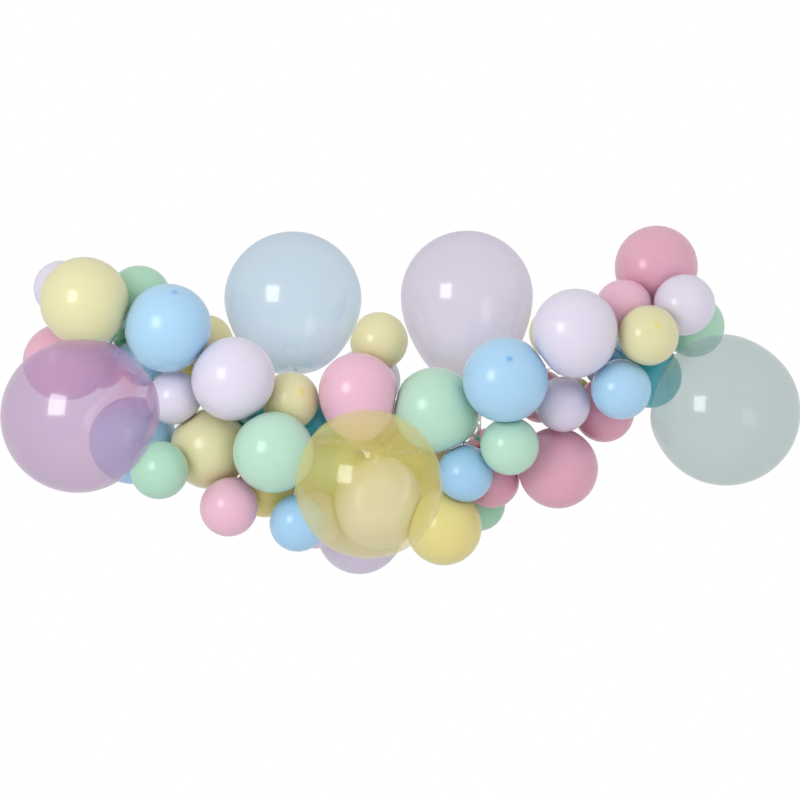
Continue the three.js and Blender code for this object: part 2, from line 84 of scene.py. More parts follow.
# name, tint, radius, then the place of its centre: across, back, up
BALLOONS = [
    ("clear_pink", "clear_pink", 195, -818, -130, -41),
    ("clear_blue", "clear_blue", 181, -282, 80, 263),
    ("clear_lilac", "clear_lilac", 175, 177, 105, 273),
    ("clear_yellow", "clear_yellow", 185, -78, -205, -213),
    ("clear_mint", "clear_mint", 188, 829, -120, -30),
    ("lilac_top_left", "lilac", 74, -895, 105, 295),
    ("yellow_top_left", "yellow", 114, -812, -60, 254),
    ("green_top_left", "green", 85, -689, 90, 270),
    ("blue_top_left", "blue", 111, -596, -60, 188),
    ("yellow_tucked_left", "yellow", 69, -509, 95, 155),
    ("pink_far_left", "pink", 101, -898, 115, 101),
    ("lilac_mid_left", "lilac", 107, -428, -70, 55),
    ("lilac_small_left", "lilac", 71, -591, 30, 6),
    ("yellow_small_left", "yellow", 74, -285, 15, 0),
    ("green_small_left", "green", 75, -621, -45, -181),
    ("blue_low_left", "blue", 116, -712, 145, -108),
    ("yellow_low_left", "yellow", 105, -501, 70, -129),
    ("pink_low_left", "pink", 75, -444, -15, -279),
    ("green_mid_left", "green", 104, -324, -85, -134),
    ("blue_low_mid", "blue", 73, -265, -20, -320),
    ("yellow_deep_left", "yellow", 77, -357, 95, -233),
    # teal tint: painted shade on a blue balloon deep in the pack
    ("teal_deep_left", "teal", 70, -218, 125, -56),
    ("pink_mid", "pink", 103, -108, -30, 20),
    ("yellow_top_mid", "yellow", 76, -55, 60, 155),
    ("lilac_deep_mid", "lilac", 89, -88, 150, 52),
    ("green_mid", "green", 109, 91, -20, -24),
    ("blue_mid", "blue", 109, 268, -130, 51),
    ("lilac_big_right", "lilac", 109, 444, -150, 173),
    ("lilac_small_right", "lilac", 71, 422, -20, -12),
    ("green_small_mid", "green", 75, 282, -78, -118),
    ("blue_small_mid", "blue", 73, 169, -12, -192),
    ("pink_low_right", "pink", 105, 415, 60, -180),
    ("pink_deep_right", "pink", 75, 242, 118, -212),
    ("green_low_right", "green", 73, 212, 240, -282),
    ("yellow_low_right", "yellow", 99, 115, 45, -334),
    ("lilac_core_mid", "lilac", 120, -55, 78, -274),
    ("lilac_low_mid", "lilac", 116, -110, 260, -357),
    ("lilac_low_deep", "lilac", 74, -225, 115, -320),
    ("pink_top_right", "pink", 109, 676, 85, 351),
    ("pink_small_right", "pink", 75, 580, -18, 238),
    ("lilac_top_right", "lilac", 79, 732, -55, 245),
    ("yellow_small_right", "yellow", 77, 631, -135, 164),
    ("green_far_right", "green", 82, 776, 100, 195),
    ("blue_small_right", "blue", 77, 565, -100, 27),
    # teal tint: painted shade on a blue balloon deep in the pack
    ("teal_deep_right", "teal", 83, 655, 45, 62),
    ("pink_lower_right", "pink", 80, 541, 115, -32),
    ("yellow_deep_right", "yellow", 65, 465, 235, 0),
    ("yellow_top_right", "yellow", 69, 413, 145, 179),
    ("pink_core_right", "pink", 66, 244, 245, -141),
    ("green_core_left", "green", 113, -200, 222, -186),
    ("green_tucked_left", "green", 67, -718, 225, 190),
    ("blue_tucked_left", "blue", 66, -688, 165, 102),
    # teal tint: painted shade on a blue balloon deep in the pack
    ("teal_back_mid_left", "teal", 83, -389, 190, -54),
    ("pink_deep_mid", "pink", 69, 376, 140, 8),
    ("pink_back_mid", "pink", 84, -73, 228, -58),
    ("blue_back_right", "blue", 75, 568, 205, 100),
    ("pink_back_far_left", "pink", 65, -812, 258, 95),
    ("yellow_back_left", "yellow", 76, -543, 225, 116),
    ("yellow_back_mid", "yellow", 114, 30, 257, -158),
]

# painted shade: how far the colour of each balloon deep in the pack, or in a crevice, goes over to its
# deeper tint
PAINTED_SHADE = {
    "yellow_tucked_left": 0.15, "yellow_low_right": 0.45, "yellow_deep_left": 0.5,
    "yellow_back_left": 0.7, "yellow_deep_right": 0.6, "yellow_top_right": 0.15,
    "green_top_left": 0.15, "green_small_left": 0.12, "green_tucked_left": 0.6,
    "green_far_right": 0.15, "green_low_right": 0.35, "green_core_left": 0.28,
    "yellow_back_mid": 0.4, "pink_back_mid": 0.25, "pink_back_far_left": 0.2,
    "blue_small_mid": 0.12, "blue_low_mid": 0.08, "blue_low_left": 0.15,
    "pink_low_right": 0.25, "pink_deep_right": 0.3, "pink_core_right": 0.3,
    "pink_top_right": 0.18, "pink_lower_right": 0.3, "pink_deep_mid": 0.1, "pink_far_left": 0.12,
    "lilac_small_right": 0.12, "lilac_low_mid": 0.25, "lilac_low_deep": 0.25,
}

# the strip's run through the pack
RUN = np.array([
    (-778, 200, 275), (-778, 200, 245), (-778, 200, 215), (-778, 200, 185), (-770, 150, 140),
    (-725, 90, 90), (-650, 50, 60), (-555, 85, 60), (-470, 60, -15), (-370, 75, -72),
    (-260, 75, -104), (-150, 78, -112), (-60, 82, -130), (60, 90, -140), (160, 65, -118),
    (204, 45, -90), (209, 45, -38), (240, 60, 25), (370, 70, 75), (455, 60, 92), (540, 60, 115),
    (600, 60, 165), (650, 70, 205), (690, 130, 215), (703, 190, 235), (703, 190, 265),
    (703, 190, 295), (703, 190, 325),
], float)

# free balloons that are drawn out more
LONG = {
    "clear_blue": 1.24, "clear_lilac": 1.4, "clear_mint": 1.14, "pink_far_left": 1.24,
    "pink_mid": 1.25, "pink_low_right": 1.1, "lilac_big_right": 1.12,
}

# balloons whose crown shows: the way it faces
CROWNS = {
    "blue_top_left": (0.21, -0.60, 0.78),
    "blue_mid": (0.05, -0.88, 0.47),
    "yellow_small_right": (0.17, -0.94, 0.30),
    "yellow_small_left": (0.42, -0.86, 0.28),
    "clear_lilac": (-0.14, -0.30, 0.94),
}


# ---- the strip's run ----------------------------------------------------------------------------

def run_point(t):
    """Points on the run at t from 0 to 1: between each two points a cubic whose slope at a point is
    half the step between that point's neighbours; past each end a mirrored point stands in."""
    points = np.vstack([2 * RUN[0] - RUN[1], RUN, 2 * RUN[-1] - RUN[-2]])
    p = np.clip(t, 0, 1) * (len(RUN) - 1)
    k = np.minimum(p.astype(int), len(RUN) - 2)
    w = (p - k)[:, None]
    p0, p1, p2, p3 = points[k], points[k + 1], points[k + 2], points[k + 3]
    m1, m2 = (p2 - p0) / 2, (p3 - p1) / 2
    return p1 + m1 * w + (3 * (p2 - p1) - 2 * m1 - m2) * w ** 2 + (2 * (p1 - p2) + m1 + m2) * w ** 3


def run_length():
    """Lengths along the run at 201 even values of t, as running sums of straight steps."""
    t = np.linspace(0, 1, 201)
    steps = np.linalg.norm(np.diff(run_point(t), axis=0), axis=1)
    return t, np.concatenate([[0], np.cumsum(steps)])


RUN_T, RUN_S = run_length()
LINKS = round(RUN_S[-1] / STRIP["pitch"])
LINK = RUN_S[-1] / LINKS


def along_run(s):
    """The place and the unit direction of the run at lengths s."""
    t = np.interp(s, RUN_S, RUN_T)
    ahead = run_point(t + 1e-4) - run_point(t - 1e-4)
    return run_point(t), ahead / np.linalg.norm(ahead, axis=1)[:, None]


EDGES = along_run(np.arange(LINKS + 1) * LINK)[0]
HOLES, HOLE_ALONG = along_run((np.arange(LINKS) + 0.5) * LINK)
ORIGIN = EDGES[0] + 0.4 * (HOLES[0] - EDGES[0]) + np.array([0, STRIP["thick"] / 2, 0])


def in_row(points):
    """Millimetres in the garland's frame to metres in the row's frame."""
    return (points - ORIGIN) / 1000


# ---- how each balloon is tied and pressed -------------------------------------------------------

def unit(v):
    return v / np.linalg.norm(v)


class Balloon:
    """One balloon's centre, radius and neck. The neck's direction and length are those of the
    solid: its farthest ring from the centre is the end of the tail."""

    def __init__(self, name, tint, radius, *centre):
        self.name, self.tint, self.radius = name, tint, float(radius)
        self.clear = tint.startswith("clear")
        self.centre = np.array(centre, float)
        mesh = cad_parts[name].data
        solid = np.empty(len(mesh.vertices) * 3, np.float32)
        mesh.vertices.foreach_get("co", solid)
        solid = solid.reshape(-1, 3).astype(float) * 1000 + ORIGIN - self.centre
        away = np.linalg.norm(solid, axis=1)
        tail = np.unique(solid[away > away.max() - 0.2].round(3), axis=0)
        self.out = unit(tail.mean(0))
        self.end = (tail @ self.out).max()
        self.knot = self.end - NECK["knot_length"] - NECK["tail"]
        away = np.linalg.norm(HOLES - self.at(self.knot), axis=1)
        self.hole = int(np.argmin(away)) if away.min() < 12 else None
        self.long = LONG.get(name, DRAW["free"])
        if self.hole is not None:
            reach = np.linalg.norm(HOLES[self.hole] - self.centre)
            most = (reach - NECK["least"]) / self.radius - DRAW["cone"]
            self.long = min(max(most, DRAW["least"]), DRAW["clear" if self.clear else "most"])
        self.root = self.radius * (self.long + DRAW["cone"])
        self.tube = self.root + min(7.0, 0.45 * (self.knot - self.root))
        self.crown = unit(np.array(CROWNS.get(name, -self.out)))
        self.teat = TEAT["clear" if self.clear else "opaque"]
        self.shown = 1.0 if name in CROWNS else TEAT["hidden"]
        self.size = "clear" if self.clear else "large" if radius > LARGE_FROM else "small"

    def at(self, reach):
        return self.centre + self.out * reach


def nearest(a, b, c):
    """The point of the straight stretch from a to b that is nearest to c."""
    d = b - a
    return a + d * np.clip((c - a) @ d / (d @ d), 0, 1)


def press_planes(ball, balls):
    """Planes that a balloon stays behind, as unit normals and distances from its centre. Between
    two balloons it is where their spheres' powers are equal, less half the clearance; off necks,
    knots and the strip it is square to the line to the nearest point, less that thing's size."""
    normals, distances = [], []

    def keep_off(point, margin, within):
        away = point - ball.centre
        far = np.linalg.norm(away)
        if far - margin < within * ball.radius:
            normals.append(away / far)
            distances.append(far - margin)

    for other in balls:
        if other is ball:
            continue
        apart = other.centre - ball.centre
        far = np.linalg.norm(apart)
        if far < 1.35 * (ball.radius + other.radius):
            normals.append(apart / far)
            flat = (far ** 2 + ball.radius ** 2 - other.radius ** 2) / (2 * far)
            distances.append(flat - CLEARANCE / 2)
        start, knot, end = other.at(other.radius), other.at(other.knot), other.at(other.end)
        keep_off(nearest(start, knot, ball.centre), NECK["radius"] + 1, 1.2)
        keep_off(nearest(knot, end, ball.centre), NECK["knot_radius"] + 1, 1.2)
    for k in range(LINKS):
        for edge in (EDGES[k], EDGES[k + 1]):
            keep_off(nearest(edge, HOLES[k], ball.centre), STRIP["width"] / 2 + 1, 1.1)
    return np.array(normals), np.array(distances)


def pressed_radius(ball, directions):
    """Radius of the skin along unit directions. Free radius at an angle a from the neck: a ball of
    R, whose neck side is half an ellipsoid, R / sqrt(sin^2 + (cos / long)^2), plus a cone of
    R cone exp(-(a/spread)^2). Pressed: the free radius r times the power sum
    (1 + sum of (r cos/d)^p) to the power -1/p over the planes, which never passes a plane."""
    cosine = np.clip(directions @ ball.out, -1, 1)
    share = np.maximum(cosine, 0)
    drawn = 1 / np.sqrt(1 - share ** 2 + (share / ball.long) ** 2)
    cone = DRAW["cone"] * np.exp(-((np.arccos(cosine) / DRAW["spread"]) ** 2))
    free = ball.radius * (drawn + cone)
    normals, distances = ball.planes
    facing = np.maximum(directions @ normals.T, 0)
    sums = 1 + ((free[..., None] * facing / distances) ** PRESS_POWER).sum(-1)
    return free * sums ** (-1 / PRESS_POWER)


# ---- surfaces -----------------------------------------------------------------------------------

def piece_from(name, points, faces, depth_and_shade=None):
    """A smooth-shaded mesh object from an array of points and arrays of faces, one for each run of
    faces with the same number of corners, with the latex depth and painted shade of each point as an
    attribute."""
    corners = np.concatenate([run.ravel() for run in faces]).astype(np.int32)
    sizes = np.concatenate([np.full(len(run), run.shape[1]) for run in faces])
    mesh = bpy.data.meshes.new(name)
    mesh.vertices.add(len(points))
    mesh.vertices.foreach_set("co", points.astype(np.float32).ravel())
    mesh.loops.add(len(corners))
    mesh.loops.foreach_set("vertex_index", corners)
    mesh.polygons.add(len(sizes))
    mesh.polygons.foreach_set("loop_start", (np.cumsum(sizes) - sizes).astype(np.int32))
    mesh.update(calc_edges=True)
    mesh.polygons.foreach_set("use_smooth", np.ones(len(mesh.polygons), bool))
    if depth_and_shade is not None:
        layer = mesh.attributes.new("latex_depth_and_shade", "FLOAT", "POINT")
        layer.data.foreach_set("value", depth_and_shade.astype(np.float32))
    mesh.update()
    piece = bpy.data.objects.new(name, mesh)
    bpy.context.scene.collection.objects.link(piece)
    return piece


def lathe_faces(rows, columns):
    """Faces of a skin of closed rings between two poles: point 0, then rows of columns, then the
    last point. Rings run so that the faces look outwards."""
    ring = 1 + np.arange(rows - 1)[:, None] * columns + np.arange(columns)[None, :]
    beside = 1 + np.arange(rows - 1)[:, None] * columns + (np.arange(columns)[None, :] + 1) % columns
    quads = np.stack([ring, ring + columns, beside + columns, beside], -1).reshape(-1, 4)
    first, first_next = ring[0], beside[0]
    last, last_next = ring[-1] + columns, beside[-1] + columns
    top = np.stack([np.zeros_like(first), first, first_next], -1)
    bottom = np.stack([last, np.full_like(last, 1 + rows * columns), last_next], -1)
    return [top, quads, bottom]


def ball_axes(ball):
    """Two directions square to the crown's."""
    upright = abs(ball.crown[2]) >= 0.95
    sideways = unit(np.cross([0.0, 1.0, 0.0] if upright else [0.0, 0.0, 1.0], ball.crown))
    return sideways, np.cross(ball.crown, sideways)


def turned(vectors, axis, angle):
    """Vectors turned about a unit axis by an angle, each row by its own: v cos + (axis x v) sin +
    axis (axis . v)(1 - cos)."""
    c, s = np.cos(angle)[:, None, None], np.sin(angle)[:, None, None]
    along = (vectors @ axis)[..., None] * axis
    return vectors * c + np.cross(axis, vectors) * s + along * (1 - c)


def body_directions(ball, a, round_):
    """Unit directions of the body's rings: ring at angle a from an axis that leans over from the
    crown to the neck's own line by the smooth step p p (3 - 2 p)."""
    sideways, upward = ball_axes(ball)
    spread = np.cos(round_)[:, None] * sideways + np.sin(round_)[:, None] * upward
    rings = np.cos(a)[:, None, None] * ball.crown + np.sin(a)[:, None, None] * spread
    lean_axis = np.cross(ball.crown, -ball.out)
    if np.linalg.norm(lean_axis) > 1e-3:
        lean = math.acos(np.clip(ball.crown @ -ball.out, -1, 1))
        part = np.clip((a - LEAN_FROM) / LEAN_OVER, 0, 1)
        rings = turned(rings, unit(lean_axis), lean * part * part * (3 - 2 * part))
    return rings


def body_rings(ball, a, round_):
    """The body at the pressed radius, with a teat of height h exp(-(a R / size)^2) at the crown, and
    the crown's own point."""
    height = ball.shown * ball.teat * TEAT["height"]
    teat = height * np.exp(-(((a * ball.radius) / ball.teat) ** 2))
    rings = body_directions(ball, a, round_)
    reach = pressed_radius(ball, rings)
    tip = pressed_radius(ball, ball.crown[None])[0] + height
    return ball.centre + rings * (reach + teat[:, None])[..., None], ball.centre + ball.crown * tip


def neck_spokes(ball, ring):
    """Unit directions from the neck's line out to the points of a ring."""
    spokes = ring - ball.centre
    spokes = spokes - (spokes @ ball.out)[:, None] * ball.out
    return spokes / np.linalg.norm(spokes, axis=1)[:, None]


def neck_flare(ball, body, spokes, w, round_):
    """Body to tube: each column runs on by the cubic in w whose slope starts as the body's and ends
    along the neck. Pleats, highest half-way, scale it about its middle."""
    start, slope = body[-1], body[-1] - body[-2]
    goal = ball.at(ball.tube) + spokes * NECK["radius"]
    gap = np.linalg.norm(goal - start, axis=1)[:, None]
    slope = slope / np.linalg.norm(slope, axis=1)[:, None] * gap * 0.9
    goal_slope = np.tile(ball.out, (len(spokes), 1)) * gap * 1.5
    flare = ((2 * w ** 3 - 3 * w ** 2 + 1) * start + (w ** 3 - 2 * w ** 2 + w) * slope
             + (3 * w ** 2 - 2 * w ** 3) * goal + (w ** 3 - w ** 2) * goal_slope)
    middle = flare.mean(1, keepdims=True)
    folded = PLEATS["clear" if ball.clear else "opaque"] * np.sin(math.pi * w[..., 0])
    pleats = 1 + folded * np.cos(PLEATS["round"] * round_ + 1.3 * np.sin(2 * round_))
    return middle + (flare - middle) * pleats[..., None]


def neck_tail(ball, spokes, round_):
    """Tube, knot and rolled lip: rings at s along the neck's line, with radii r, wrapped by two soft
    folds that are deeper at the knot, and squeezed flatter past it."""
    knot, end = ball.knot, ball.end
    s = np.concatenate([
        np.linspace(ball.tube, knot - 0.6, 5)[1:],
        knot + KNOT_STEPS,
        np.linspace(knot + 8, end - 2.2, 5),
        end + LIP_STEPS,
    ])
    r = np.concatenate([np.full(4, NECK["radius"]), KNOT_RADII, np.linspace(2.7, 3.7, 5), LIP_RADII])
    wrap = np.where((s > knot - 0.5) & (s < knot + 6), 0.09, 0.04)[:, None]
    folds = 1 + wrap * np.cos(2 * round_ + 0.9 * s[:, None]) + 0.03 * np.cos(9 * round_)
    flat = np.clip((s - knot - 5) / 6, 0, 1)[:, None]
    squeeze = 1 + flat * 0.28 * np.cos(2 * round_ + ball.centre[0])
    return ball.at(0) + ball.out * s[:, None, None] + spokes * (r[:, None] * folds * squeeze)[..., None]


def latex_depth_and_shade(ball, a, w, tail_rings, columns):
    """How deep the latex looks at each point, from 0 to 1: thick at the teat, towards the neck and
    all along the tail, and nowhere less than the painted shade given for the balloon."""
    thick_crown = np.exp(-(((a * ball.radius) / (1.7 * ball.teat)) ** 2)) * 0.7 * ball.shown
    to_neck = np.clip((a - math.radians(140)) / math.radians(26), 0, 1) ** 2 * 0.35
    flare = 0.35 + 0.65 * w[:, 0, 0] ** 0.7
    rings = np.concatenate([np.maximum(thick_crown, to_neck), flare, np.ones(tail_rings)])
    depth_and_shade = np.concatenate([[0.7 * ball.shown], np.repeat(rings, columns), [1.0]])
    # painted shade: a least depth for balloons deep in the pack, which takes their colour towards the
    # deeper tint
    return np.maximum(depth_and_shade, PAINTED_SHADE.get(ball.name, 0.0))


def balloon_skin(ball):
    """The whole balloon as one skin of rings, crown to lip: body, flare, then tube, knot and lip."""
    columns, rows = SKIN[ball.size]
    a = np.concatenate([CROWN_RINGS, np.linspace(BODY_FROM, BODY_TO, rows - len(CROWN_RINGS))])
    w = np.linspace(0, 1, FLARE_STEPS)[1:, None, None]
    round_ = np.linspace(0, 2 * math.pi, columns, endpoint=False)
    body, crown_point = body_rings(ball, a, round_)
    spokes = neck_spokes(ball, body[-1])
    tail = neck_tail(ball, spokes, round_)
    skin = np.concatenate([body, neck_flare(ball, body, spokes, w, round_), tail])
    points = np.vstack([crown_point, skin.reshape(-1, 3), ball.at(ball.end - 1.6)])
    depth_and_shade = latex_depth_and_shade(ball, a, w, len(tail), columns)
    return in_row(points), lathe_faces(len(skin), columns), depth_and_shade


# ---- the strip ----------------------------------------------------------------------------------

def face_axes(along, turn):
    """The strip's face normal and its direction across, turned about the run from +Y."""
    back = np.array([0.0, 1.0, 0.0])
    n = back - along * along[:, 1:2]
    n = n / np.linalg.norm(n, axis=1)[:, None]
    b = np.cross(along, n)
    normal = n * np.cos(turn)[:, None] + b * np.sin(turn)[:, None]
    return normal, np.cross(along, normal)


def link_turns(balls):
    """The turn of every link: a link that holds a neck faces along it, both end pairs face back,
    and the links between turn by equal steps, the shorter way round."""
    turns = np.full(LINKS, np.nan)
    normal, across = face_axes(HOLE_ALONG, np.zeros(LINKS))
    for ball in balls:
        if ball.hole is not None:
            k = ball.hole
            turns[k] = math.atan2(ball.out @ across[k], ball.out @ normal[k])
    turns[[0, 1, -2, -1]] = 0
    known = np.flatnonzero(~np.isnan(turns))
    for before, k in zip(known[:-1], known[1:]):
        turns[k] -= math.pi * round((turns[k] - turns[before]) / math.pi)
    return np.interp(np.arange(LINKS), known, turns[known])


def link_rim(half_x, half_y):
    """Where each spoke from the hole's middle meets the link's rectangle, with the spokes nearest to
    its corners moved onto them."""
    angle = (np.arange(LINK_SPOKES) + 0.5) / LINK_SPOKES * 2 * math.pi
    c, s = np.cos(angle), np.sin(angle)
    corner = math.atan2(half_y, half_x)
    from_x = np.abs(np.mod(angle + math.pi, 2 * math.pi) - math.pi)
    snap = np.argmin(np.abs(from_x[None, :] - np.array([[corner], [math.pi - corner]])), axis=1)
    far = np.minimum(half_x / np.maximum(np.abs(c), 1e-9), half_y / np.maximum(np.abs(s), 1e-9))
    rim = np.stack([c * far, s * far], -1)
    for k in snap:
        for mate in {k, (LINK_SPOKES - 1 - k) % LINK_SPOKES}:
            rim[mate] = np.sign(rim[mate]) * (half_x, half_y)
    return rim, np.stack([c, s], -1)


def link_points(rim, spokes, half_y):
    """One link lying flat, as x along, y across and h up: rings from hole to rim, first on its top,
    then underneath."""
    start = spokes * STRIP["hole"]
    flat = start[None] + RING_SHARE[:, None, None] * (rim - start)[None]
    near = len(HOLE_RINGS)
    flat[:near] = spokes[None] * (STRIP["hole"] + HOLE_RINGS)[:, None, None]
    flat[:near, :, 1] = np.clip(flat[:near, :, 1], EDGE_MARGIN - half_y, half_y - EDGE_MARGIN)
    high = np.repeat((STRIP["thick"] / 2 + RING_LIFT)[:, None, None], LINK_SPOKES, 1)
    faces = [np.concatenate([flat, side * high], -1) for side in (1, -1)]
    return np.concatenate(faces).reshape(-1, 3)


def on_edge(rim, axis, value):
    """Spokes that, with the next one, lie on the link's edge at a value along one axis."""
    there = np.roll(np.arange(LINK_SPOKES), -1)
    at = np.abs(rim[:, axis] - value) < 1e-6
    here = np.flatnonzero(at & at[there])
    return here, there[here]


def wall(here, there):
    """Faces between the top's and the underside's outermost rings."""
    outer = (len(RING_SHARE) - 1) * LINK_SPOKES
    lower = outer + len(RING_SHARE) * LINK_SPOKES
    return np.stack([outer + there, outer + here, lower + here, lower + there], -1)


def link_faces(rim, half_y):
    """Faces of one link without its ends: both faces, the hole's wall and the two long sides."""
    here = np.arange(LINK_SPOKES)
    there = (here + 1) % LINK_SPOKES
    bore = len(RING_SHARE) * LINK_SPOKES
    quads = []
    for ring in range(len(RING_SHARE) - 1):
        top = ring * LINK_SPOKES
        under = bore + top
        top_next, under_next = top + LINK_SPOKES, under + LINK_SPOKES
        quads.append(np.stack([top + here, top_next + here, top_next + there, top + there], -1))
        quads.append(np.stack([under + there, under_next + there, under_next + here, under + here], -1))
    quads.append(np.stack([here, there, bore + there, bore + here], -1))
    quads.append(wall(*on_edge(rim, 1, half_y)))
    quads.append(wall(*on_edge(rim, 1, -half_y)))
    return np.concatenate(quads)


def strip_surface(balls):
    """The whole strip. Each link is a patch of rings from its round hole out to its rectangle, on
    both faces, with a low raised rim round the hole. A point at x along, y across and h up is
    the run's place at x, plus y times its across, plus h times its normal."""
    half_x, half_y = LINK / 2, STRIP["width"] / 2
    rim, spokes = link_rim(half_x, half_y)
    template = link_points(rim, spokes, half_y)
    quads = link_faces(rim, half_y)

    count = len(template)
    place = np.tile(template, (LINKS, 1))
    x = (np.repeat(np.arange(LINKS), count) + 0.5) * LINK + place[:, 0]
    point, along = along_run(x)
    turns = np.interp(x / LINK - 0.5, np.arange(LINKS), link_turns(balls))
    normal, across = face_axes(along, turns)
    points = point + across * place[:, 1:2] + normal * place[:, 2:3]
    faces = (quads[None] + (np.arange(LINKS) * count)[:, None, None]).reshape(-1, 4)
    first_end = wall(*on_edge(rim, 0, -half_x))
    last_end = wall(*on_edge(rim, 0, half_x)) + (LINKS - 1) * count
    return in_row(points), [np.concatenate([faces, first_end, last_end])]


def weld(piece):
    """Merges points that lie together and turns every face outwards."""
    work = bmesh.new()
    work.from_mesh(piece.data)
    bmesh.ops.remove_doubles(work, verts=work.verts, dist=2e-5)
    bmesh.ops.recalc_face_normals(work, faces=work.faces)
    work.to_mesh(piece.data)
    work.free()
    return piece


# ---- materials ----------------------------------------------------------------------------------

def latex_bloom():
    """Shared by all latex: a slow cloudiness and a fine grain. It puts out a tone to multiply a
    colour by, a roughness and a height."""
    group = bpy.data.node_groups.new("latex_bloom", "ShaderNodeTree")
    face = group.interface
    for name, value in (("Cloud", 0.03), ("Grain", 0.02), ("Roughness", 0.3), ("Size", 14.0)):
        face.new_socket(name, in_out="INPUT", socket_type="NodeSocketFloat").default_value = value
    for name in ("Tone", "Roughness", "Height"):
        face.new_socket(name, in_out="OUTPUT", socket_type="NodeSocketFloat")
    nodes, links = group.nodes, group.links
    give = nodes.new("NodeGroupInput")
    take = nodes.new("NodeGroupOutput")
    where = nodes.new("ShaderNodeTexCoord")
    cloud = nodes.new("ShaderNodeTexNoise")
    cloud.inputs["Detail"].default_value = 3.0
    cloud.inputs["Roughness"].default_value = 0.55
    grain = nodes.new("ShaderNodeTexNoise")
    grain.inputs["Scale"].default_value = 420.0
    grain.inputs["Detail"].default_value = 2.0
    links.new(where.outputs["Object"], cloud.inputs["Vector"])
    links.new(where.outputs["Object"], grain.inputs["Vector"])
    links.new(give.outputs["Size"], cloud.inputs["Scale"])

    def spread(source, amount, base):
        """base + amount x (source - 0.5) x 2, where base is a number or a socket."""
        centred = nodes.new("ShaderNodeMath")
        centred.operation = "MULTIPLY_ADD"
        centred.inputs[1].default_value = 2.0
        centred.inputs[2].default_value = -1.0
        links.new(source, centred.inputs[0])
        out = nodes.new("ShaderNodeMath")
        out.operation = "MULTIPLY_ADD"
        links.new(centred.outputs[0], out.inputs[0])
        links.new(amount, out.inputs[1])
        if isinstance(base, float):
            out.inputs[2].default_value = base
        else:
            links.new(base, out.inputs[2])
        return out.outputs[0]

    slow = spread(cloud.outputs["Fac"], give.outputs["Cloud"], 1.0)
    tone = spread(grain.outputs["Fac"], give.outputs["Grain"], slow)
    links.new(tone, take.inputs["Tone"])
    links.new(spread(grain.outputs["Fac"], give.outputs["Grain"], give.outputs["Roughness"]),
              take.inputs["Roughness"])
    links.new(grain.outputs["Fac"], take.inputs["Height"])
    return group


BLOOM = latex_bloom()


def rgb(*values):
    """sRGB from 0 to 255 to the linear colour that shaders take."""
    v = np.array(values) / 255
    return tuple(np.where(v <= 0.04045, v / 12.92, ((v + 0.055) / 1.055) ** 2.4)) + (1.0,)


def latex_base(name, colour, deep, cloud, grain, roughness, size, bump):
    """The parts that all latex shares: the tint times the bloom's tone, going over to the deeper
    tint of thick latex at the crown's teat, the neck and the lip, and to it as painted shade on
    balloons deep in the pack."""
    material = bpy.data.materials.new(name)
    material.use_nodes = True
    nodes, links = material.node_tree.nodes, material.node_tree.links
    nodes.clear()
    out = nodes.new("ShaderNodeOutputMaterial")
    skin = nodes.new("ShaderNodeBsdfPrincipled")
    links.new(skin.outputs[0], out.inputs["Surface"])
    bloom = nodes.new("ShaderNodeGroup")
    bloom.node_tree = BLOOM
    for socket, value in (("Cloud", cloud), ("Grain", grain), ("Roughness", roughness), ("Size", size)):
        bloom.inputs[socket].default_value = value
    depth_and_shade = nodes.new("ShaderNodeAttribute")
    depth_and_shade.attribute_name = "latex_depth_and_shade"
    mix = nodes.new("ShaderNodeMix")
    mix.data_type = "RGBA"
    mix.inputs["A"].default_value = colour
    mix.inputs["B"].default_value = deep
    links.new(depth_and_shade.outputs["Fac"], mix.inputs["Factor"])
    toned = nodes.new("ShaderNodeVectorMath")
    toned.operation = "SCALE"
    links.new(mix.outputs["Result"], toned.inputs[0])
    links.new(bloom.outputs["Tone"], toned.inputs["Scale"])
    links.new(toned.outputs["Vector"], skin.inputs["Base Color"])
    links.new(bloom.outputs["Roughness"], skin.inputs["Roughness"])
    relief = nodes.new("ShaderNodeBump")
    relief.inputs["Strength"].default_value = bump
    relief.inputs["Distance"].default_value = 0.0002
    links.new(bloom.outputs["Height"], relief.inputs["Height"])
    links.new(relief.outputs["Normal"], skin.inputs["Normal"])
    return material, skin, depth_and_shade


def satin_latex(name, colour, deep):
    """Opaque pastel latex, satin; light seeps through it and evens out the shading."""
    material, skin, _ = latex_base(name, colour, deep, 0.018, 0.012, 0.22, 9.0, 0.06)
    skin.inputs["Specular IOR Level"].default_value = 0.6
    skin.inputs["Subsurface Weight"].default_value = 0.7
    skin.inputs["Subsurface Radius"].default_value = (1.0, 1.0, 1.0)
    skin.inputs["Subsurface Scale"].default_value = 0.035
    return material


